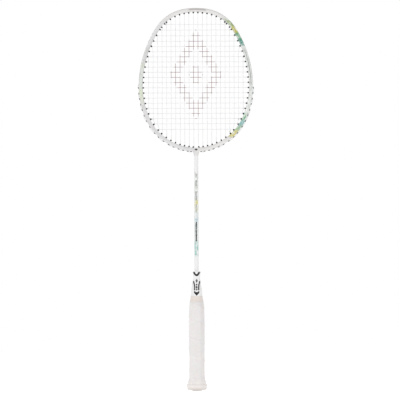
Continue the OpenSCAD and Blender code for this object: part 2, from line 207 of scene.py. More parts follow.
CROSS_HOLES = {j: cross_hole(j) for j in range(1, CROSSES + 1)}
TOP_HOLES = {k: crown_hole(k) for k in range(1, OWN_HOLES + 1)}
TOP_HOLES |= {k: CROSS_HOLES[j] for k, j in SHARED_ABOVE.items()}
BOTTOM_HOLES = {k: throat_hole(k) for k in range(1, OWN_HOLES + 1)}
BOTTOM_HOLES |= {k: CROSS_HOLES[j] for k, j in SHARED_BELOW.items()}


def some(holes, first, last):
    return [holes[i] for i in range(first, last + 1)]


GROMMET_GROUPS = {
    "crown": some(TOP_HOLES, 1, 6),
    "shoulder": some(TOP_HOLES, 7, 8) + some(CROSS_HOLES, 1, 6),
    "side": some(CROSS_HOLES, 7, 17),
    "lower": some(CROSS_HOLES, 18, 21) + some(BOTTOM_HOLES, 7, 8),
    "throat": some(BOTTOM_HOLES, 1, 6),
}


# ---------------------------------------------------------------- mesh helpers
def mesh_object(name, verts, faces, sharp=40):
    mesh = bpy.data.meshes.new(name)
    mesh.from_pydata([tuple(c * MM for c in v) for v in verts], [], faces)
    bm = bmesh.new()
    bm.from_mesh(mesh)
    bmesh.ops.recalc_face_normals(bm, faces=bm.faces)
    bm.to_mesh(mesh)
    bm.free()
    obj = bpy.data.objects.new(name, mesh)
    bpy.context.scene.collection.objects.link(obj)
    smooth(obj, sharp)
    return obj


def smooth(obj, sharp):
    obj.data.shade_smooth()
    obj.data.set_sharp_from_angle(angle=math.radians(sharp))


def polar(r, angle, z):
    return Vector((r * math.cos(angle), r * math.sin(angle), z))


def levels(low, high, steps):
    """Evenly spaced values, both ends included."""
    return [low + (high - low) * i / steps for i in range(steps + 1)]


def full_turn(sides):
    return [360 * s / sides for s in range(sides)]


def skin(rings, closed=False):
    """Faces that join rings of the same length, closed on themselves or capped at both ends."""
    n = len(rings[0])
    verts = [v for ring in rings for v in ring]
    faces = []
    last = len(rings) if closed else len(rings) - 1
    for i in range(last):
        a, b = i * n, (i + 1) % len(rings) * n
        faces += [(a + s, a + (s + 1) % n, b + (s + 1) % n, b + s) for s in range(n)]
    if not closed:
        faces += [tuple(range(n)), tuple(range(len(verts) - n, len(verts)))]
    return verts, faces


def join(parts):
    """One vertex and face list from several."""
    verts, faces = [], []
    for v, f in parts:
        faces += [tuple(len(verts) + i for i in face) for face in f]
        verts += v
    return verts, faces


def revolved(profile, place, sides):
    """Closed ring of a profile given as (radius, height), turned about the local Z of place()."""
    rings = [[place(r * cos_d(t), r * sin_d(t), h) for r, h in profile] for t in full_turn(sides)]
    return skin(rings, closed=True)


def tube(path, radius, sides=8):
    """Round tube along a path, with its frame carried along without twist."""
    rings = []
    tangent = (path[1] - path[0]).normalized()
    normal = tangent.orthogonal().normalized()
    for i, p in enumerate(path):
        ahead = (path[min(i + 1, len(path) - 1)] - path[max(i - 1, 0)]).normalized()
        normal = tangent.rotation_difference(ahead) @ normal
        tangent = ahead
        normal = (normal - tangent * normal.dot(tangent)).normalized()
        side = tangent.cross(normal)
        rings.append([p + (normal * cos_d(t) + side * sin_d(t)) * radius for t in full_turn(sides)])
    return skin(rings)


def rounded_path(points, radius, steps=4):
    """The polyline with each real corner replaced by a short curve."""
    path = [points[0]]
    for a, p, b in zip(points, points[1:], points[2:]):
        back, on = a - p, b - p
        if back.length < 1e-4 or on.length < 1e-4:
            continue
        if back.normalized().dot(on.normalized()) < -0.97:
            path.append(p)
            continue
        start = p + back.normalized() * min(radius, back.length * 0.45)
        end = p + on.normalized() * min(radius, on.length * 0.45)
        for t in levels(0, 1, steps):
            path.append(start * (1 - t) ** 2 + p * 2 * t * (1 - t) + end * t ** 2)
    path.append(points[-1])
    return path


def smoothstep(t):
    t = min(max(t, 0), 1)
    return t * t * (3 - 2 * t)


def curve_through(points, t):
    """Monotone cubic through points given as (t, value)."""
    if t <= points[0][0]:
        return points[0][1]
    if t >= points[-1][0]:
        return points[-1][1]
    i = next(i for i in range(len(points) - 1) if points[i][0] <= t <= points[i + 1][0])

    def slope(k):
        if k < 0 or k >= len(points) - 1:
            return None
        return (points[k + 1][1] - points[k][1]) / (points[k + 1][0] - points[k][0])

    def tangent(k):
        before, after = slope(k - 1), slope(k)
        if before is None or after is None:
            return before if after is None else after
        return 0 if before * after <= 0 else 2 * before * after / (before + after)

    (t0, v0), (t1, v1) = points[i], points[i + 1]
    h, s = t1 - t0, (t - t0) / (t1 - t0)
    return (
        v0 * (1 + 2 * s) * (1 - s) ** 2 + tangent(i) * h * s * (1 - s) ** 2
        + v1 * s * s * (3 - 2 * s) + tangent(i + 1) * h * s * s * (s - 1)
    )


# ---------------------------------------------------------------- material helpers
def linear(rgb):
    return tuple((c / 255 / 12.92) if c <= 10 else ((c / 255 + 0.055) / 1.055) ** 2.4 for c in rgb)


class Shader:
    """A Principled material with short calls for the nodes that feed it."""

    def __init__(self, name, rgb, roughness, **sockets):
        self.material = bpy.data.materials.new(name)
        self.material.use_nodes = True
        self.tree = self.material.node_tree
        self.bsdf = self.tree.nodes["Principled BSDF"]
        self.fill(self.bsdf, Base_Color=rgb, Roughness=roughness, **sockets)
        self.where = self.node("ShaderNodeTexCoord").outputs["Object"]

    def node(self, kind, **settings):
        made = self.tree.nodes.new(kind)
        for key, value in settings.items():
            setattr(made, key, value)
        return made

    def feed(self, socket, value):
        if isinstance(value, bpy.types.NodeSocket):
            self.tree.links.new(value, socket)
        elif isinstance(value, tuple):
            socket.default_value = (*linear(value), 1)
        else:
            socket.default_value = value

    def fill(self, node, **values):
        """Feeds inputs of a node by their names, and gives its first output."""
        for name, value in values.items():
            self.feed(node.inputs[name.replace("_", " ")], value)
        return node.outputs[0]

    def math(self, operation, a, b=0.0, clamp=False):
        made = self.node("ShaderNodeMath", operation=operation, use_clamp=clamp)
        self.feed(made.inputs[0], a)
        self.feed(made.inputs[1], b)
        return made.outputs[0]

    def times(self, first, *rest):
        for factor in rest:
            first = self.math("MULTIPLY", first, factor)
        return first

    def flip(self, share):
        return self.math("SUBTRACT", 1.0, share)

    def axes_mm(self):
        split = self.node("ShaderNodeSeparateXYZ")
        self.feed(split.inputs[0], self.where)
        return [self.math("MULTIPLY", split.outputs[i], 1 / MM) for i in range(3)]

    def attribute(self, name):
        return self.node("ShaderNodeAttribute", attribute_name=name).outputs["Fac"]

    def vector(self, *parts):
        made = self.node("ShaderNodeCombineXYZ")
        for socket, part in zip(made.inputs, parts):
            self.feed(socket, part)
        return made.outputs[0]

    def noise(self, scale, detail=3.0, roughness=0.5, stretch=(1, 1, 1), where=None):
        mapping = self.node("ShaderNodeMapping")
        self.feed(mapping.inputs["Vector"], where or self.where)
        mapping.inputs["Scale"].default_value = stretch
        made = self.node("ShaderNodeTexNoise")
        return self.fill(made, Vector=mapping.outputs[0], Scale=scale, Detail=detail, Roughness=roughness)

    def cells(self, scale):
        """Distance from the nearest of scattered points."""
        return self.fill(self.node("ShaderNodeTexVoronoi"), Vector=self.where, Scale=scale)

    def step(self, value, low, high):
        """0 below low, 1 above high."""
        made = self.node("ShaderNodeMapRange", interpolation_type="SMOOTHSTEP")
        return self.fill(made, Value=value, From_Min=low, From_Max=high)

    def between(self, value, low, high, soft):
        """1 from low to high, with soft edges."""
        rise = self.step(value, low - soft, low + soft)
        fall = self.step(value, high - soft, high + soft)
        return self.math("SUBTRACT", rise, fall, clamp=True)

    def lozenge(self, x, z, centre_z, half_w, half_h):
        """0 at the lozenge's centre, 1 on its outline."""
        wide = self.math("DIVIDE", self.math("ABSOLUTE", x), half_w)
        tall = self.math("DIVIDE", self.math("ABSOLUTE", self.math("SUBTRACT", z, centre_z)), half_h)
        return self.math("ADD", wide, tall)

    def mix(self, share, a, b):
        made = self.node("ShaderNodeMix", data_type="RGBA")
        self.feed(made.inputs[0], share)
        self.feed(made.inputs[6], a)
        self.feed(made.inputs[7], b)
        return made.outputs[2]

    def bands(self, value, low, high, stops):
        """Colour ramp over value from low to high, with stops given as (value, rgb)."""
        ramp = self.node("ShaderNodeValToRGB")
        share = self.fill(self.node("ShaderNodeMapRange"), Value=value, From_Min=low, From_Max=high)
        self.feed(ramp.inputs[0], share)
        elements = ramp.color_ramp.elements
        for i, (at, rgb) in enumerate(sorted(stops)):
            place = (at - low) / (high - low)
            element = elements[i] if i < 2 else elements.new(place)
            element.position = place
            element.color = (*linear(rgb), 1)
        return ramp.outputs[0]

    def colour(self, value):
        self.feed(self.bsdf.inputs["Base Color"], value)

    def rough(self, value, low, high):
        share = self.fill(self.node("ShaderNodeMapRange"), Value=value, To_Min=low, To_Max=high)
        self.feed(self.bsdf.inputs["Roughness"], share)

    def bump(self, height, distance, strength):
        made = self.node("ShaderNodeBump")
        normal = self.fill(made, Height=height, Distance=distance * MM, Strength=strength)
        self.feed(self.bsdf.inputs["Normal"], normal)


# ---------------------------------------------------------------- materials
FROST = (238, 236, 234)
PEARL = (231, 230, 230)
SAGE = (162, 182, 128)
SUN = (216, 204, 60)
LEAF = (104, 178, 126)
TEAL = (74, 158, 142)
SEA = (92, 184, 180)
INK = (34, 34, 36)
THROAT_MARK_Z = 425.4


def frame_bands(s, z):
    """Bands of colour up the right and left sides, with ragged ends."""
    ragged = s.math("ADD", z, s.times(s.math("SUBTRACT", s.noise(140, 4, 0.6), 0.5), 13.0))
    right = s.bands(ragged, 440, 662, [
        (440, FROST), (446, FROST), (449, (222, 212, 92)), (457, (218, 206, 72)), (460, (160, 204, 142)),
        (466, (150, 202, 164)), (469, SEA), (476, SEA), (479, LEAF), (488, LEAF), (492, (242, 244, 241)),
        (608, (241, 243, 240)), (611, TEAL), (618, TEAL), (622, LEAF), (629, LEAF), (633, SUN), (640, SUN),
        (644, SAGE), (651, SAGE), (657, FROST), (662, FROST),
    ])
    left = s.bands(ragged, 440, 662, [
        (440, PEARL), (504, PEARL), (512, (232, 236, 222)), (528, (230, 237, 214)),
        (536, (232, 236, 230)), (566, (234, 237, 232)), (573, (232, 238, 218)), (582, PEARL), (650, PEARL),
        (662, FROST),
    ])
    return right, left


def frame_marbling(s, paint, side, z, across, rim):
    """White flecks through the fades, grey-green marbling, and a broken line down the right flank."""
    fades = s.times(s.math("MAXIMUM", s.between(z, 446, 490, 3), s.between(z, 611, 657, 3)), side)
    flecks = s.times(s.step(s.noise(300, 4, 0.65, (0.6, 1, 1), rim), 0.5, 0.58), fades)
    paint = s.mix(s.times(flecks, 0.9), paint, (244, 247, 243))
    flank = s.between(z, 496, 606, 6)
    patches = s.step(s.noise(84, 4, 0.6, (0.8, 1, 1), rim), 0.47, 0.58)
    paint = s.mix(s.times(flank, patches, 0.2), paint, (206, 210, 204))
    veins = s.between(s.noise(260, 5, 0.62, (0.22, 1, 1), rim), 0.468, 0.51, 0.01)
    flank_veins = s.times(flank, s.math("ADD", s.times(side, 0.13), 0.262))
    worked = s.math("MAXIMUM", flank_veins, s.times(fades, 0.4))
    paint = s.mix(s.times(veins, worked), paint, (94, 116, 100))
    line = s.times(s.between(across, -0.7, 0.6, 0.2), s.between(z, 532, 600, 8))
    gaps = s.step(s.noise(120, 3, 0.6, (0.3, 1, 1), rim), 0.42, 0.55)
    return s.mix(s.times(line, gaps, side, 0.7), paint, (100, 108, 102))


def frame_streaks_and_edge_shade(s, paint, across, rim):
    """Brushed streaks along the rim, and painted shade and dark reflection along its outer and inner edges.
    """
    streaks = s.times(s.step(s.noise(420, 3, 0.55, (0.06, 1, 1), rim), 0.46, 0.6), 0.35)
    paint = s.mix(streaks, paint, (208, 205, 206))
    on_hoop = s.math("LESS_THAN", across, HALF_W + 0.05)
    # Painted shade and dark reflection along the hoop's rounded outer and inner edges
    edges = s.math("MAXIMUM", s.times(s.step(across, 2.2, 3.2), on_hoop), s.flip(s.step(across, -3.3, -2.5)))
    return s.mix(s.times(edges, 0.42), paint, (172, 169, 170))


def frame_paint():
    s = Shader("frame_paint", FROST, 0.24, Coat_Weight=0.7, Coat_Roughness=0.06)
    x, y, z = s.axes_mm()
    along, across = s.attribute("along"), s.attribute("across")
    # Metres along, over and round the rim
    rim = s.vector(s.times(along, MM), s.times(across, MM), s.times(y, MM))
    side = s.step(x, -0.5, 0.5)
    right, left = frame_bands(s, z)
    paint = frame_marbling(s, s.mix(side, left, right), side, z, across, rim)
    paint = frame_streaks_and_edge_shade(s, paint, across, rim)
    # A plain darker strip at the crown, and a plain lozenge on the throat
    strip = s.times(s.between(x, -12, 18, 2.5), s.between(across, -0.6, 2.3, 0.3), s.step(z, 600, 640))
    paint = s.mix(s.times(strip, 0.62), paint, (164, 158, 154))
    mark = s.flip(s.step(s.lozenge(x, z, THROAT_MARK_Z, 3.167, 1.9), 0.921, 1.079))
    s.colour(s.mix(mark, paint, INK))
    s.rough(s.noise(60, 3), 0.2, 0.32)
    s.bump(s.noise(900, 2), 0.01, 0.4)
    return s.material


# Foot, head and strength of each length of the plain broken line that runs up the shaft's front
SHAFT_DASHES = ((264, 298, 1.0), (318, 330, 0.4), (336, 352, 0.6), (361, 371, 0.6), (376, 383, 0.4))


def shaft_paint():
    s = Shader("shaft_paint", FROST, 0.22, Coat_Weight=0.7, Coat_Roughness=0.05)
    x, y, z = s.axes_mm()
    tint = s.bands(z, 200, 430, [
        (200, (240, 240, 241)), (236, (242, 242, 243)), (242, (160, 210, 200)), (258, (166, 214, 206)),
        (266, (224, 229, 226)), (296, (218, 229, 231)), (302, (190, 218, 230)), (312, (198, 222, 228)),
        (316, (216, 220, 208)), (323, (232, 226, 156)), (334, (232, 227, 164)), (340, (228, 230, 218)),
        (380, (230, 231, 227)), (386, (243, 243, 243)), (430, (244, 243, 243)),
    ])
    worked = s.between(z, 238, 386, 3)
    bare = s.times(s.step(s.noise(210, 4, 0.6, (1.3, 1.3, 0.55)), 0.44, 0.52), worked)
    base = s.mix(s.times(bare, 0.85), tint, (248, 249, 249))
    veins = s.between(s.noise(380, 5, 0.62, (1.2, 1.2, 0.5)), 0.48, 0.515, 0.01)
    paint = s.mix(s.times(veins, worked, 0.7), base, (126, 134, 130))
    front = s.times(s.math("LESS_THAN", y, 0.0), s.between(x, -1.4, 0.9, 0.2))
    gaps = s.step(s.noise(620, 2, 0.5, (0.4, 0.4, 1)), 0.34, 0.44)
    for low, high, strength in SHAFT_DASHES:
        dash = s.times(front, s.between(z, low, high, 0.5), gaps)
        paint = s.mix(s.times(dash, strength), paint, (44, 44, 43))
    s.colour(paint)
    s.rough(s.noise(80, 2), 0.18, 0.3)
    s.bump(s.noise(1200, 2), 0.006, 0.4)
    return s.material


# Height, half width, half height and strength of the cone cap's plain lozenges
CONE_LOZENGES = ((194.0, 2.3, 3.7, 0.85), (187.4, 1.6, 1.9, 1.0), (182.8, 1.8, 2.9, 1.0),
                 (178.5, 1.6, 1.9, 1.0))


def cone_print(s, x, y, z):
    """Black print on the cone cap's front: a collar, side bars, a pointed block and small lozenges."""
    ax = s.math("ABSOLUTE", x)
    square = s.times(ax, ax)
    below = s.math("SUBTRACT", z, s.times(square, 0.155))
    above = s.math("SUBTRACT", z, s.times(square, 0.52))
    collar = s.times(s.step(below, 201.9, 202.3), s.math("LESS_THAN", above, 205.6),
                     s.math("LESS_THAN", z, 209.4))
    bar_x = s.math("SUBTRACT", ax, s.times(s.step(z, 184.5, 193.5), 1.7))
    bars = s.times(s.between(bar_x, 2.35, 4.8, 0.15), s.between(z, 177.4, 193.4, 0.3))
    block_w = s.math("MINIMUM", s.times(s.math("SUBTRACT", z, 167.8), 0.95), 4.6)
    block_top = s.math("ADD", s.times(s.step(ax, 1.9, 2.8), 1.7), 174.2)
    block = s.times(s.math("LESS_THAN", ax, block_w), s.math("LESS_THAN", z, block_top))
    total = s.math("MAXIMUM", s.math("MAXIMUM", collar, bars), block)
    for centre_z, half_w, half_h, strength in CONE_LOZENGES:
        inside = s.flip(s.step(s.lozenge(x, z, centre_z, half_w, half_h), 0.9, 1.1))
        total = s.math("MAXIMUM", total, s.times(inside, strength))
    return s.times(total, s.math("LESS_THAN", y, 0.0))


def cone_plastic():
    s = Shader("cone_plastic", (240, 240, 240), 0.3, Coat_Weight=0.25, Coat_Roughness=0.12)
    x, y, z = s.axes_mm()
    mottled = s.mix(s.noise(70, 3), (234, 233, 232), (246, 246, 247))
    s.colour(s.mix(cone_print(s, x, y, z), mottled, (22, 22, 24)))
    s.rough(s.noise(140, 3), 0.26, 0.4)
    s.bump(s.noise(700, 3), 0.02, 0.5)
    return s.material


def tape_film():
    s = Shader("tape_film", (226, 216, 208), 0.42)
    s.colour(s.mix(s.noise(120, 4, 0.6, (1, 1, 2.5)), (222, 210, 202), (240, 233, 227)))
    s.rough(s.noise(200, 3), 0.32, 0.55)
    s.bump(s.noise(420, 4, 0.6, (1, 1, 4)), 0.05, 0.7)
    return s.material


def grip_pu():
    s = Shader("grip_pu", (231, 227, 225), 0.55, Subsurface_Weight=0.04,
               Sheen_Weight=0.08, Sheen_Roughness=0.5)
    _, _, z = s.axes_mm()
    mottle_and_shade = s.mix(s.noise(38, 4, 0.6), (225, 222, 221), (237, 234, 233))
    warm_foot = s.times(s.flip(s.step(z, 12, 27)), 0.9)
    mottle_and_shade = s.mix(warm_foot, mottle_and_shade, (241, 234, 231))
    # Painted shade under each turn's overlapped edge, and painted shade in faint creases across the wrap
    seam_shade = s.times(s.flip(s.step(s.attribute("past_edge"), 0.1, 1.5)), s.step(s.noise(24, 2), 0.34, 0.6))
    mottle_and_shade = s.mix(s.times(seam_shade, 0.5), mottle_and_shade, (196, 191, 190))
    crease_shade = s.between(s.noise(90, 4, 0.6, (0.7, 0.7, 3.0)), 0.48, 0.52, 0.02)
    s.colour(s.mix(s.times(crease_shade, 0.13), mottle_and_shade, (198, 194, 193)))
    pores = s.cells(820)
    s.rough(pores, 0.46, 0.66)
    s.bump(s.math("ADD", pores, s.noise(260, 4)), 0.05, 0.55)
    return s.material


def butt_plastic():
    s = Shader("butt_plastic", (236, 228, 225), 0.4)
    _, _, z = s.axes_mm()
    rim = s.mix(s.noise(60, 3), (233, 227, 224), (238, 233, 230))
    # Darker towards the bottom: painted shade on the lower, downward-facing part of the cap
    s.colour(s.mix(s.step(z, 1.0, 8.0), (204, 196, 190), rim))
    s.rough(s.noise(200, 3), 0.34, 0.5)
    s.bump(s.noise(900, 3), 0.02, 0.5)
    return s.material


def badge_plastic():
    s = Shader("badge_plastic", (206, 201, 197), 0.3, Coat_Weight=0.3)
    s.colour(s.mix(s.noise(90, 3), (200, 195, 190), (214, 209, 205)))
    s.rough(s.noise(300, 3), 0.24, 0.38)
    s.bump(s.noise(1100, 3), 0.012, 0.5)
    return s.material


def grommet_nylon():
    s = Shader("grommet_nylon", (20, 20, 22), 0.42, Specular_IOR_Level=0.3)
    s.colour(s.mix(s.noise(500, 3), (10, 10, 12), (24, 24, 26)))
    s.rough(s.noise(700, 3), 0.34, 0.52)
    s.bump(s.noise(1600, 2), 0.015, 0.5)
    return s.material


STENCIL_Z = 557.5
STENCIL_HALF_H = 83.0
STENCIL_HALF_W = 48.0


def string_nylon():
    s = Shader("string_nylon", (236, 236, 234), 0.34, Subsurface_Weight=0.06)
    x, _, z = s.axes_mm()
    # Painted stencil: a tall lozenge ring with a small lozenge in its middle
    reach = s.lozenge(x, z, STENCIL_Z, STENCIL_HALF_W, STENCIL_HALF_H)
    edge = s.math("ADD", reach, s.times(s.math("SUBTRACT", s.noise(300, 2), 0.5), 0.06))
    ring = s.between(edge, 0.62, 0.98, 0.015)
    middle = s.flip(s.step(edge, 0.25, 0.28))
    inked = s.times(s.math("MAXIMUM", ring, middle), s.step(s.noise(520, 3), 0.2, 0.42))
    s.colour(s.mix(inked, (233, 232, 234), (104, 22, 44)))
    braid = s.node("ShaderNodeTexWave", bands_direction="DIAGONAL")
    s.bump(s.fill(braid, Vector=s.where, Scale=900), 0.03, 0.5)
    return s.material


def core_wood():
    s = Shader("core_wood", (190, 152, 108), 0.6)
    s.colour(s.mix(s.noise(45, 5, 0.6, (9, 9, 0.7)), (170, 130, 86), (206, 170, 124)))
    s.rough(s.noise(160, 3, 0.5, (6, 6, 0.6)), 0.5, 0.72)
    s.bump(s.noise(160, 4, 0.6, (8, 8, 0.6)), 0.08, 0.6)
    return s.material


def laminate_raw():
    s = Shader("laminate_raw", (50, 50, 53), 0.5)
    s.colour(s.mix(s.noise(260, 4, 0.6, (1, 1, 5)), (40, 40, 43), (66, 66, 70)))
    s.rough(s.noise(300, 3), 0.4, 0.6)
    s.bump(s.noise(500, 3, 0.5, (1, 1, 6)), 0.04, 0.6)
    return s.material


def staple_steel():
    s = Shader("staple_steel", (196, 196, 199), 0.3, Metallic=1.0)
    s.colour(s.mix(s.noise(700, 3), (180, 180, 184), (208, 208, 210)))
    s.rough(s.noise(900, 3, 0.5, (8, 1, 1)), 0.22, 0.42)
    return s.material


# ---------------------------------------------------------------- pieces
def finish_piece(obj, material, slot, *nodes):
    obj.data.materials.append(material)
    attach(obj, "root")
    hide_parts(*nodes)


# Heading at which the string groove starts to run out into the shallow channel, and how far it takes
GROOVE_END = 88.5
GROOVE_RUN_OUT = 3
CORNER_R_IN = 2.9
CORNER_R_OUT = 1.5
GROOVE_HALF = 2.0
LIP_R = 0.45
FLOOR_R = 0.3
RING_SPACING = 1.25


def groove_depth_at(a):
    t = smoothstep((abs(a) - GROOVE_END) / GROOVE_RUN_OUT)
    return GROOVE_DEPTH + (CHANNEL_DEPTH - GROOVE_DEPTH) * t


def corner(cu, cy, r, start, steps=6):
    """Quarter circle about (cu, cy)."""
    return [(cu + r * cos_d(t), cy + r * sin_d(t)) for t in levels(start, start + 90, steps)]


def hoop_section(depth):
    """Rounded box (u, y) with the groove in its outer side, counter-clockwise from the groove's floor."""
    v = HOOP_DEPTH / 2
    floor = HALF_W - depth
    lip = min(LIP_R, depth * 0.6)
    heel = min(FLOOR_R, depth * 0.3)
    heel_turns, lip_turns = (0, 30, 60, 90), (0, 22.5, 45, 67.5, 90)
    upper = [(floor + heel * (1 - cos_d(t)), GROOVE_HALF - heel * (1 - sin_d(t))) for t in heel_turns]
    upper += [(HALF_W - lip * (1 - sin_d(t)), GROOVE_HALF + lip * (1 - cos_d(t))) for t in lip_turns]
    upper += corner(HALF_W - CORNER_R_OUT, v - CORNER_R_OUT, CORNER_R_OUT, 0)
    upper += corner(-HALF_W + CORNER_R_IN, v - CORNER_R_IN, CORNER_R_IN, 90, 8)
    lower = [(u, -y) for u, y in reversed(upper)]
    return upper + lower


def hoop_mesh():
    stations = []
    for i in range(THROAT_ARC + 1):
        length = RADII[i] * math.radians(TURNS[i + 1] - TURNS[i])
        n = math.ceil(length / RING_SPACING)
        stations += [TURNS[i] + (TURNS[i + 1] - TURNS[i]) * s / n for s in range(n)]
    right = stations + [180]
    headings = right + [-a for a in reversed(right[1:-1])]
    rings = [[hoop_point(a, u, y) for u, y in hoop_section(groove_depth_at(a))] for a in headings]
    return mesh_object("frame_body", *skin(rings, closed=True))


# Height from the head's lowest point, half width and half depth
FAIRING = [(-8.5, 3.6, 3.6), (-7.6, 3.78, 3.75), (-6.2, 4.1, 3.9), (-4.7, 4.5, 4.0), (-3.2, 4.95, 4.1),
           (-1.7, 5.4, 4.15), (-0.6, 5.7, 4.15), (0.4, 5.78, 4.1), (1.2, 5.7, 4.0)]
FAIRING_SIDES = 64


def fairing_mesh():
    """Flared fillet from the shaft into the hoop."""
    head_bottom = hoop_point(180, HALF_W).z
    rings = [[Vector((half_w * cos_d(t), half_d * sin_d(t), head_bottom + rise))
              for t in full_turn(FAIRING_SIDES)] for rise, half_w, half_d in FAIRING]
    return mesh_object("fairing", *skin(rings))


def placed(origin, axis):
    """Function that puts local (x, y, z) at origin with local Z along axis."""
    turn = Vector((0, 0, 1)).rotation_difference(axis)
    return lambda x, y, z: origin + turn @ Vector((x, y, z))


def mirrored(point):
    return Vector((-point.x, point.y, point.z))


DRILL_SIDES = 24
DRILL_ENDS = (-0.3, HOOP_WIDTH + 6)


def drills():
    """Rods from each hole's knee to beyond the rim, to cut the holes with."""
    parts = []
    turns = full_turn(DRILL_SIDES)
    for side in (1, -1):
        for group in GROMMET_GROUPS.values():
            for h in group:
                radius = (WIDE_BARREL_R if h.wide else BARREL_R) + DRILL_CLEARANCE
                place = placed(h.knee, h.axis)
                ends = [[place(radius * cos_d(t), radius * sin_d(t), z) for t in turns] for z in DRILL_ENDS]
                if side < 0:
                    ends = [[mirrored(p) for p in reversed(ring)] for ring in ends]
                parts.append(skin(ends))
    return mesh_object("drills", *join(parts))


def boolean(obj, other, operation):
    modifier = obj.modifiers.new(operation.lower(), "BOOLEAN")
    modifier.operation = operation
    modifier.solver = "EXACT"
    modifier.object = other
    bpy.context.view_layer.update()
    evaluated = obj.evaluated_get(bpy.context.evaluated_depsgraph_get())
    made = bpy.data.meshes.new_from_object(evaluated)
    obj.modifiers.clear()
    obj.data = made
    bpy.data.objects.remove(other)


def rim_place(x, z):
    """How far round the rim a point is from the crown, and how far outward of the hoop's centreline."""
    length = 0
    for i in range(THROAT_ARC + 1):
        a = math.degrees(math.atan2(abs(x) - CENTRES[i][0], z - CENTRES[i][1]))
        if a <= TURNS[i + 1] or i == THROAT_ARC:
            length += RADII[i] * math.radians(a - TURNS[i])
            return length, math.hypot(abs(x) - CENTRES[i][0], z - CENTRES[i][1]) - RADII[i]
        length += RADII[i] * math.radians(TURNS[i + 1] - TURNS[i])


def note_rim_places(mesh):
    """Stores rim_place of every vertex, for the paint."""
    along = mesh.attributes.new("along", "FLOAT", "POINT")
    across = mesh.attributes.new("across", "FLOAT", "POINT")
    for i, vertex in enumerate(mesh.vertices):
        along.data[i].value, across.data[i].value = rim_place(vertex.co.x / MM, vertex.co.z / MM)


def make_frame():
    hoop = hoop_mesh()
    boolean(hoop, fairing_mesh(), "UNION")
    boolean(hoop, drills(), "DIFFERENCE")
    smooth(hoop, 38)
    note_rim_places(hoop.data)
    finish_piece(hoop, frame_paint(), "frame_paint", "frame")


TIP_R = 0.3
STEEP_SLANT = 20


def grommet_parts(h):
    """Barrel with a rounded tip, and a rounded flange on the groove's floor."""
    barrel, bore = (WIDE_BARREL_R, WIDE_BORE_R) if h.wide else (BARREL_R, BORE_R)
    top = h.reach(h.floor + h.flange_t * 0.8)
    profile = [
        (bore, KNEE_GAP + TIP_R * 0.6), (bore + 0.07, KNEE_GAP + 0.06), (bore + 0.2, KNEE_GAP),
        (barrel - TIP_R, KNEE_GAP), (barrel - 0.09, KNEE_GAP + 0.09), (barrel, KNEE_GAP + TIP_R),
        (barrel, top), (bore, top),
    ]
    a = h.exit(h.floor)
    seat = placed(hoop_point(a, h.floor), Vector((sin_d(a), 0, cos_d(a))))
    mouth = bore * (1.35 if h.slant > STEEP_SLANT else 1.06)
    thick = h.flange_t
    rim = [
        (mouth, 0.0), (FLANGE_R, 0.0), (FLANGE_R, thick - 0.22), (FLANGE_R - 0.07, thick - 0.07),
        (FLANGE_R - 0.22, thick), (mouth + 0.2, thick), (mouth + 0.06, thick - 0.06), (mouth, thick - 0.2),
    ]
    return [revolved(profile, placed(h.knee, h.axis), 28), revolved(rim, seat, 32)]


def make_grommets(material):
    for group, holes in GROMMET_GROUPS.items():
        right = join([part for h in holes for part in grommet_parts(h)])
        left = ([mirrored(v) for v in right[0]], [tuple(reversed(f)) for f in right[1]])
        sides = {"_right": right, "_left": left}
        if group in ("crown", "throat"):
            sides = {"": join([right, left])}
        for side, part in sides.items():
            obj = mesh_object(f"eyelets_{group}{side}", *part, sharp=35)
            finish_piece(obj, material, "grommet_nylon", f"grommets_{group}{side}")


# The mains run this far in front of the string bed's plane at the rim, and the crosses behind it
SIDE_STEP = 0.42
WEAVE = STRING_R + 0.005
BEND_R = 0.8
RIM_STEP = 1.2
RISE_END = 0.8
KNOT_R = 2 * STRING_R + 0.06
KNOT_TURNS = 2.75
KNOT_SIDES = 14
KNOT_DROP = 0.78
KNOT_TAIL = ((0.9, -0.5), (1.9, -1.3))
MAIN_KNOT_DROP = 0.5
CROSS_KNOT_RISE = 1.1


def over(m, j):
    """+1 where cross j runs behind main m, -1 in front. Main 0 is just right of the axis, -1 just left."""
    return 1 if (m + j) % 2 == 0 else -1


def met_crosses(k):
    return [j for j in range(1, CROSSES + 1)
            if TOP_HOLES[k].knee.z > cross_z(j) + 1 and BOTTOM_HOLES[k].knee.z < cross_z(j) - 1]


def met_mains(j):
    return [k for k in range(1, MAINS + 1) if j in met_crosses(k)]


def wave(points, per_span=6):
    """Cosine path between turning points."""
    path = []
    for p, q in zip(points, points[1:]):
        crosswise = abs(q.x - p.x) > abs(q.z - p.z)
        for i in range(per_span):
            even = i / per_span
            eased = (1 - math.cos(math.pi * even)) / 2
            path.append(Vector((
                p.x + (q.x - p.x) * (even if crosswise else eased),
                p.y + (q.y - p.y) * eased,
                p.z + (q.z - p.z) * (eased if crosswise else even),
            )))
    path.append(points[-1])
    return path


def main_path(k, downward, side):
    """Main k between its two knees, behind and before the crosses in turn."""
    m = k - 1 if side > 0 else -k
    points = [TOP_HOLES[k].knee + Vector((0, -SIDE_STEP, 0))]
    points += [Vector((main_x(k), -WEAVE * over(m, j), cross_z(j))) for j in met_crosses(k)]
    points += [BOTTOM_HOLES[k].knee + Vector((0, -SIDE_STEP, 0))]
    path = wave(points)
    return path if downward else path[::-1]


def rim_path(h, g, y):
    """Out through hole h, along the rim and in through hole g, at depth y, without the knees.

    Where the flanges differ, the string has risen before it meets the second one.
    """
    a, b = h.exit(h.string_u), g.exit(g.string_u)
    n = max(1, math.ceil(abs(b - a) / RIM_STEP))
    path = []
    for t in levels(0, 1, n):
        heading = a + (b - a) * t
        u = h.string_u + (g.string_u - h.string_u) * smoothstep(t / RISE_END)
        path.append(hoop_point(heading, u, y))
    return path


def on_side(path, side):
    return path if side > 0 else [mirrored(p) for p in path]


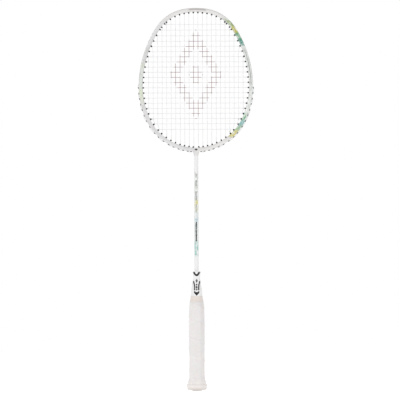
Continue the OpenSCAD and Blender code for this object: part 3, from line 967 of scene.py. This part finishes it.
def knot_path(start, at, drop):
    """Coils round the string that passes through `at`, then a short cut end."""
    begin = math.atan2(start.y - at.y, start.x - at.x)
    path = []
    for i in range(int(KNOT_TURNS * KNOT_SIDES) + 1):
        t = i / KNOT_SIDES
        angle = begin + 2 * math.pi * t
        path.append(at + polar(KNOT_R, angle, -drop * (0.3 + 0.74 * t)))
    end = path[-1]
    out = Vector((end.x - at.x, end.y - at.y, 0)).normalized()
    return path + [end + out * reach + Vector((0, 0, fall * drop)) for reach, fall in KNOT_TAIL]


def main_half(side):
    """The right or left half of the main string, from the first main to the knot."""
    path = []
    for k in range(1, MAINS + 1):
        down = k % 2 == 1
        path += on_side(main_path(k, down, side), side)
        if k == MAINS:
            break
        holes = BOTTOM_HOLES if down else TOP_HOLES
        path += on_side(rim_path(holes[k], holes[k + 1], -SIDE_STEP), side)
    tie = CROSS_HOLES[MAIN_TIE]
    path += on_side(rim_path(BOTTOM_HOLES[MAINS], tie, -SIDE_STEP), side)
    knee = tie.knee + Vector((0, -SIDE_STEP, 0))
    held = Vector((main_x(MAINS - 1), 0, cross_z(MAIN_TIE) - MAIN_KNOT_DROP))
    path += on_side([knee] + knot_path(knee, held, KNOT_DROP), side)
    return path


def make_main_string(material):
    first = TOP_HOLES[1]
    a = first.exit(first.string_u)
    crown = [hoop_point(t, first.string_u, -SIDE_STEP) for t in levels(-a, a, 4)]
    path = main_half(-1)[::-1] + crown + main_half(1)
    obj = mesh_object("mains", *tube(rounded_path(path, BEND_R), STRING_R), sharp=80)
    finish_piece(obj, material, "string_nylon", "main_string")


def cross_path(j, rightward):
    knee = CROSS_HOLES[j].knee
    ks = met_mains(j)
    columns = [-k for k in reversed(ks)] + [k - 1 for k in ks]
    points = [Vector((-knee.x, SIDE_STEP, knee.z))]
    points += [Vector(((m + 0.5) * MAIN_PITCH, WEAVE * over(m, j), cross_z(j))) for m in columns]
    points += [Vector((knee.x, SIDE_STEP, knee.z))]
    path = wave(points)
    return path if rightward else path[::-1]


def cross_knot(hole, k, side, sign, entering):
    """Knot on main k just inside the hole, above or below it by sign."""
    knee = hole.knee + Vector((0, SIDE_STEP, 0))
    held = Vector((main_x(k), 0, hole.knee.z + sign * CROSS_KNOT_RISE))
    path = on_side([knee] + knot_path(knee, held, -sign * KNOT_DROP), side)
    return path if entering else path[::-1]


def make_cross_string(material):
    start, last = TOP_HOLES[CROSS_START], BOTTOM_HOLES[CROSS_END]
    path = cross_knot(start, CROSS_START, -1, -1, False)
    path += on_side(rim_path(start, CROSS_HOLES[1], SIDE_STEP), -1)
    for j in range(1, CROSSES + 1):
        rightward = j % 2 == 1
        path += cross_path(j, rightward)
        if j < CROSSES:
            path += on_side(rim_path(CROSS_HOLES[j], CROSS_HOLES[j + 1], SIDE_STEP), 1 if rightward else -1)
    path += rim_path(CROSS_HOLES[CROSSES], last, SIDE_STEP)
    path += cross_knot(last, CROSS_END, 1, 1, True)
    obj = mesh_object("crosses", *tube(rounded_path(path, BEND_R), STRING_R), sharp=80)
    finish_piece(obj, material, "string_nylon", "cross_string")


SHAFT_BORE_R = 2.3
SHAFT_STEPS = 40


def make_shaft():
    low, high = foot_of("shaft").z, top_of("shaft").z
    outer = top_of("shaft").x
    heights = [low + 0.3] + levels(low, high, SHAFT_STEPS)[1:]
    profile = [(outer - 0.15, low)] + [(outer, z) for z in heights]
    profile += [(SHAFT_BORE_R, high), (SHAFT_BORE_R, low)]
    obj = mesh_object("shaft_tube", *revolved(profile, placed(Vector(), Vector((0, 0, 1))), 64))
    finish_piece(obj, shaft_paint(), "shaft_paint", "shaft")


# Handle sections: eight flats, with their corners rounded by a power mean of their distances
DEPTH_RATIO = 0.91
BEVEL_RATIO = 0.272
HANDLE_SIDES = 144
HANDLE_ANGLES = [math.radians(t) for t in full_turn(HANDLE_SIDES)]


def round_ring(r, z):
    return [polar(r, t, z) for t in HANDLE_ANGLES]


def handle_radius(theta, width, rounding):
    c, s = abs(math.cos(theta)) + 1e-9, abs(math.sin(theta)) + 1e-9
    half = width / 2
    reaches = (half / c, half * DEPTH_RATIO / s, (half * (1 + DEPTH_RATIO) - width * BEVEL_RATIO) / (c + s))
    return sum(reach ** -rounding for reach in reaches) ** (-1 / rounding)


def handle_ring(z, width, rounding, extra=None):
    ring = []
    for theta in HANDLE_ANGLES:
        r = handle_radius(theta, width, rounding) + (extra(theta, z) if extra else 0)
        ring.append(polar(r, theta, z))
    return ring


# Here and below, widths are given as (height, width)
GRIP_WIDTHS = [(11.5, 33.8), (14.3, 32.8), (17.2, 31.6), (20, 29.4), (23, 28.4), (28, 28.0), (130, 28.0),
               (143, 27.4), (150, 26.6), (155, 25.0), (158, 23.5)]
GRIP_STEPS = 420
GRIP_ROUNDING = 18
FOOT_INSETS = (3.2, 1.2, 0.5, 0.15)
FOOT_LIP = 0.45
FOOT_LIP_FADE = 0.35
WRAP_PITCH = 31.0
WRAP_STEP = 0.42
WRAP_FADE = 5.0
WRAP_PHASE = 0.36


def past_edge(theta, z):
    """Height above the nearest edge of the wrap's turns below."""
    return (z / WRAP_PITCH + theta / (2 * math.pi) + WRAP_PHASE) % 1.0 * WRAP_PITCH


def wrap_height(theta, z):
    """Thickness that the overlapped edge of each turn adds, falling away along the turn below it."""
    past = past_edge(theta, z)
    rise = smoothstep(past / 0.5)
    edge = rise * math.exp(-past / WRAP_FADE)
    pucker = 0.05 * math.sin(9 * theta + 0.4 * z) * math.exp(-past / 2.2) * rise
    return WRAP_STEP * (edge - 1) + pucker


def make_grip():
    low, high = foot_of("grip_wrap").z, top_of("grip_wrap").z
    foot_w = curve_through(GRIP_WIDTHS, low)
    rings = [handle_ring(low + 0.02 * inset, foot_w - inset, GRIP_ROUNDING) for inset in FOOT_INSETS]
    for z in levels(low, high, GRIP_STEPS):
        lip = FOOT_LIP * math.exp((low - z) / FOOT_LIP_FADE)
        rings.append(handle_ring(z, curve_through(GRIP_WIDTHS, z) - lip, GRIP_ROUNDING, wrap_height))
    rings.append(handle_ring(high, curve_through(GRIP_WIDTHS, high) - 2.2, GRIP_ROUNDING))
    obj = mesh_object("grip", *skin(rings), sharp=60)
    height = obj.data.attributes.new("past_edge", "FLOAT", "POINT")
    for i, v in enumerate(obj.data.vertices):
        height.data[i].value = past_edge(math.atan2(v.co.y, v.co.x), v.co.z / MM)
    finish_piece(obj, grip_pu(), "grip_pu", "grip_wrap")


CAP_WIDTHS = [(1.8, 30.6), (2.4, 32.0), (3.7, 33.7), (5.2, 35.0), (7, 35.6), (9.5, 35.6), (10.7, 35.2),
              (11.4, 34.2), (11.7, 32.8)]
CAP_STEPS = 44
CAP_ROUNDING = 11
BADGE_SEAT_Z = 2.4


def make_butt_cap():
    """Cap from the badge's seat round its rim to the plug inside the grip."""
    low, rim_z = foot_of("butt_cap").z, CAP_WIDTHS[-1][0]
    badge_r = top_of("butt_badge").x
    seat = ((badge_r - 4, BADGE_SEAT_Z), (badge_r, BADGE_SEAT_Z), (badge_r, low + 0.25),
            (badge_r + 0.3, low), (badge_r + 3.5, low))
    rings = [round_ring(r, z) for r, z in seat]
    rings.append(handle_ring(low, 29.8, 9))
    for z in levels(low, rim_z, CAP_STEPS):
        rings.append(handle_ring(z, curve_through(CAP_WIDTHS, z), CAP_ROUNDING))
    rings.append(handle_ring(rim_z, 29.0, CAP_ROUNDING))
    rings.append(handle_ring(top_of("butt_cap").z, 25.2, 14))
    obj = mesh_object("butt_cap_shell", *skin(rings))
    finish_piece(obj, butt_plastic(), "butt_plastic", "butt_cap")


BADGE_LOZENGE = [(3.4, 0), (1.9, 1.15), (0, 2.3), (-1.9, 1.15),
                 (-3.4, 0), (-1.9, -1.15), (0, -2.3), (1.9, -1.15)]


def make_badge():
    """Disc with a raised rim and a plain raised lozenge on its lower face."""
    radius, top = top_of("butt_badge").x, top_of("butt_badge").z
    profile = [
        (0.0, 0.35), (4.6, 0.35), (5.0, 0.3), (5.3, 0.1), (5.6, 0.0), (8.0, 0.0), (8.5, 0.12), (8.85, 0.45),
        (radius, 0.9), (radius, top), (0.0, top),
    ]
    disc = revolved(profile, placed(Vector(), Vector((0, 0, 1))), 96)
    rings = [[Vector((x * scale, y * scale, z)) for x, y in BADGE_LOZENGE]
             for scale, z in ((1.0, 0.35), (1.0, 0.1), (0.9, 0.0))]
    obj = mesh_object("badge_disc", *join([disc, skin(rings)]), sharp=30)
    bm = bmesh.new()
    bm.from_mesh(obj.data)
    bmesh.ops.remove_doubles(bm, verts=bm.verts, dist=1e-6)
    bmesh.ops.dissolve_degenerate(bm, edges=bm.edges, dist=1e-7)
    bm.to_mesh(obj.data)
    bm.free()
    finish_piece(obj, badge_plastic(), "badge_plastic", "butt_badge")


# Diameters of the cone cap's round body and widths of its flats, which are blended by a power mean
CONE_ROUND = [(162, 21.6), (166, 21.0), (170, 20.4), (176.6, 19.4), (180.5, 17.4), (184, 16.0), (190, 14.8),
              (194.2, 13.0), (198, 11.9), (202, 12.5), (206, 12.9), (208.6, 13.6), (209.6, 13.75),
              (210.3, 13.2), (210.5, 12.4)]
CONE_FLATS = [(162, 21.0), (167, 20.0), (176.6, 19.6), (190, 22)]
CONE_STEPS = 150
CONE_POWER = 16
FLATS_ROUNDING = 40


def cone_ring(z):
    half = curve_through(CONE_ROUND, z) / 2
    flats = curve_through(CONE_FLATS, z)
    ring = []
    for theta in HANDLE_ANGLES:
        flat = handle_radius(theta, flats, FLATS_ROUNDING)
        r = (half ** -CONE_POWER + flat ** -CONE_POWER) ** (-1 / CONE_POWER)
        ring.append(polar(r, theta, z))
    return ring


def make_cone_cap():
    low, high = foot_of("cone_cap").z, top_of("cone_cap").z
    rings = [cone_ring(z) for z in levels(low, high, CONE_STEPS)]
    bore = top_of("shaft").x
    rings += [round_ring(bore + 1.6, high), round_ring(bore + 0.12, high - 0.1)]
    rings += [round_ring(bore + 0.02, high - 1.2), round_ring(bore + 0.02, low)]
    obj = mesh_object("cone_shell", *skin(rings, closed=True), sharp=50)
    finish_piece(obj, cone_plastic(), "cone_plastic", "cone_cap")


TAPE_WIDTHS = [(157.2, 24.5), (159.5, 23.0), (162.5, 21.8), (167, 20.7)]
TAPE_THICKNESS = 0.18
TAPE_STEPS = 60
TAPE_ROUNDING = 22
# Shares of the turn where the second layer starts and ends, its edge's run and its thickness
LAYER_START = 0.30
LAYER_END = 0.78
LAYER_EDGE = 0.004
LAYER_T = 0.12
TAPE_SINK = 0.16


def tape_height(theta, z):
    """Second layer over part of the turn, with the free end's step, and fine puckers."""
    share = (theta / (2 * math.pi) + 0.02 * math.sin(z * 1.3)) % 1.0
    layer = smoothstep((share - LAYER_START) / LAYER_EDGE) - smoothstep((share - LAYER_END) / LAYER_EDGE)
    pucker = 0.035 * math.sin(23 * theta + 1.7 * z) * math.sin(0.9 * z)
    return LAYER_T * layer - TAPE_SINK + pucker


def make_tape():
    low, high = foot_of("finishing_tape").z, top_of("finishing_tape").z
    outer, inner = [], []
    for z in levels(low, high, TAPE_STEPS):
        width = curve_through(TAPE_WIDTHS, z)
        outer.append(handle_ring(z, width, TAPE_ROUNDING, tape_height))
        inner.append(handle_ring(z, width - 2 * TAPE_THICKNESS - 0.4, TAPE_ROUNDING))
    obj = mesh_object("tape_band", *skin(outer + inner[::-1], closed=True), sharp=50)
    finish_piece(obj, tape_film(), "finishing_tape", "finishing_tape")


def dress_inner_pieces():
    """Finishes for the CAD pieces that stay as they are, inside the frame and the handle."""
    materials = {"t_joint": laminate_raw(), "handle_core": core_wood(), "grip_staple": staple_steel()}
    for node, material in materials.items():
        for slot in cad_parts[node].material_slots:
            slot.material = material


# ---------------------------------------------------------------- studio
LIGHT_TARGET = Vector((0, 0, 0.34))


def area_light(name, energy, size, place):
    data = bpy.data.lights.new(name, "AREA")
    data.energy, data.size = energy, size
    obj = bpy.data.objects.new(name, data)
    obj.location = place
    obj.rotation_euler = (LIGHT_TARGET - Vector(place)).to_track_quat("-Z", "Y").to_euler()
    bpy.context.scene.collection.objects.link(obj)


FLOOR_RADIUS = 1.6
FLOOR_SIDES = 96


def make_world():
    """White to the camera, and softer as a light."""
    scene = bpy.context.scene
    scene.view_settings.view_transform = "Standard"
    world = bpy.data.worlds.new("studio")
    scene.world = world
    world.use_nodes = True
    tree = world.node_tree
    light, seen = tree.nodes["Background"], tree.nodes.new("ShaderNodeBackground")
    for background, strength in ((light, 0.46), (seen, 1.0)):
        background.inputs["Color"].default_value = (1, 1, 1, 1)
        background.inputs["Strength"].default_value = strength
    ray = tree.nodes.new("ShaderNodeLightPath")
    choose = tree.nodes.new("ShaderNodeMixShader")
    tree.links.new(ray.outputs["Is Camera Ray"], choose.inputs[0])
    tree.links.new(light.outputs[0], choose.inputs[1])
    tree.links.new(seen.outputs[0], choose.inputs[2])
    tree.links.new(choose.outputs[0], tree.nodes["World Output"].inputs["Surface"])


def make_floor():
    floor = bpy.data.meshes.new("floor")
    ring = [(FLOOR_RADIUS * cos_d(t), FLOOR_RADIUS * sin_d(t), 0) for t in full_turn(FLOOR_SIDES)]
    floor.from_pydata(ring, [], [tuple(range(FLOOR_SIDES))])
    obj = bpy.data.objects.new("floor", floor)
    bpy.context.scene.collection.objects.link(obj)
    glow = {"Emission_Color": (255, 255, 255), "Emission_Strength": 0.93}
    white = Shader("floor_white", (124, 124, 124), 0.9, **glow)
    obj.data.materials.append(white.material)


def make_studio():
    make_world()
    area_light("key", 30, 1.2, (-2.0, -1.7, 1.6))
    area_light("fill", 15, 1.6, (2.2, -1.3, 0.9))
    area_light("back", 20, 1.8, (1.2, 2.2, 1.9))
    make_floor()


CAMERA_DISTANCE = 6.0
VIEW_WIDTH = 705.6 * MM
VIEW_CENTRE = (6.5 * MM, 336.4 * MM)
VIEW_ROLL = 0.22


def make_camera():
    data = bpy.data.cameras.new("camera")
    data.sensor_width = 36
    data.lens = data.sensor_width * CAMERA_DISTANCE / VIEW_WIDTH
    data.clip_end = 100
    camera = bpy.data.objects.new("camera", data)
    camera.location = (VIEW_CENTRE[0], -CAMERA_DISTANCE, VIEW_CENTRE[1])
    camera.rotation_euler = (math.radians(90), math.radians(VIEW_ROLL), 0)
    bpy.context.scene.collection.objects.link(camera)
    bpy.context.scene.camera = camera


make_camera()
make_studio()
make_frame()
make_grommets(grommet_nylon())
strings = string_nylon()
make_main_string(strings)
make_cross_string(strings)
make_shaft()
make_cone_cap()
make_tape()
make_grip()
make_butt_cap()
make_badge()
dress_inner_pieces()
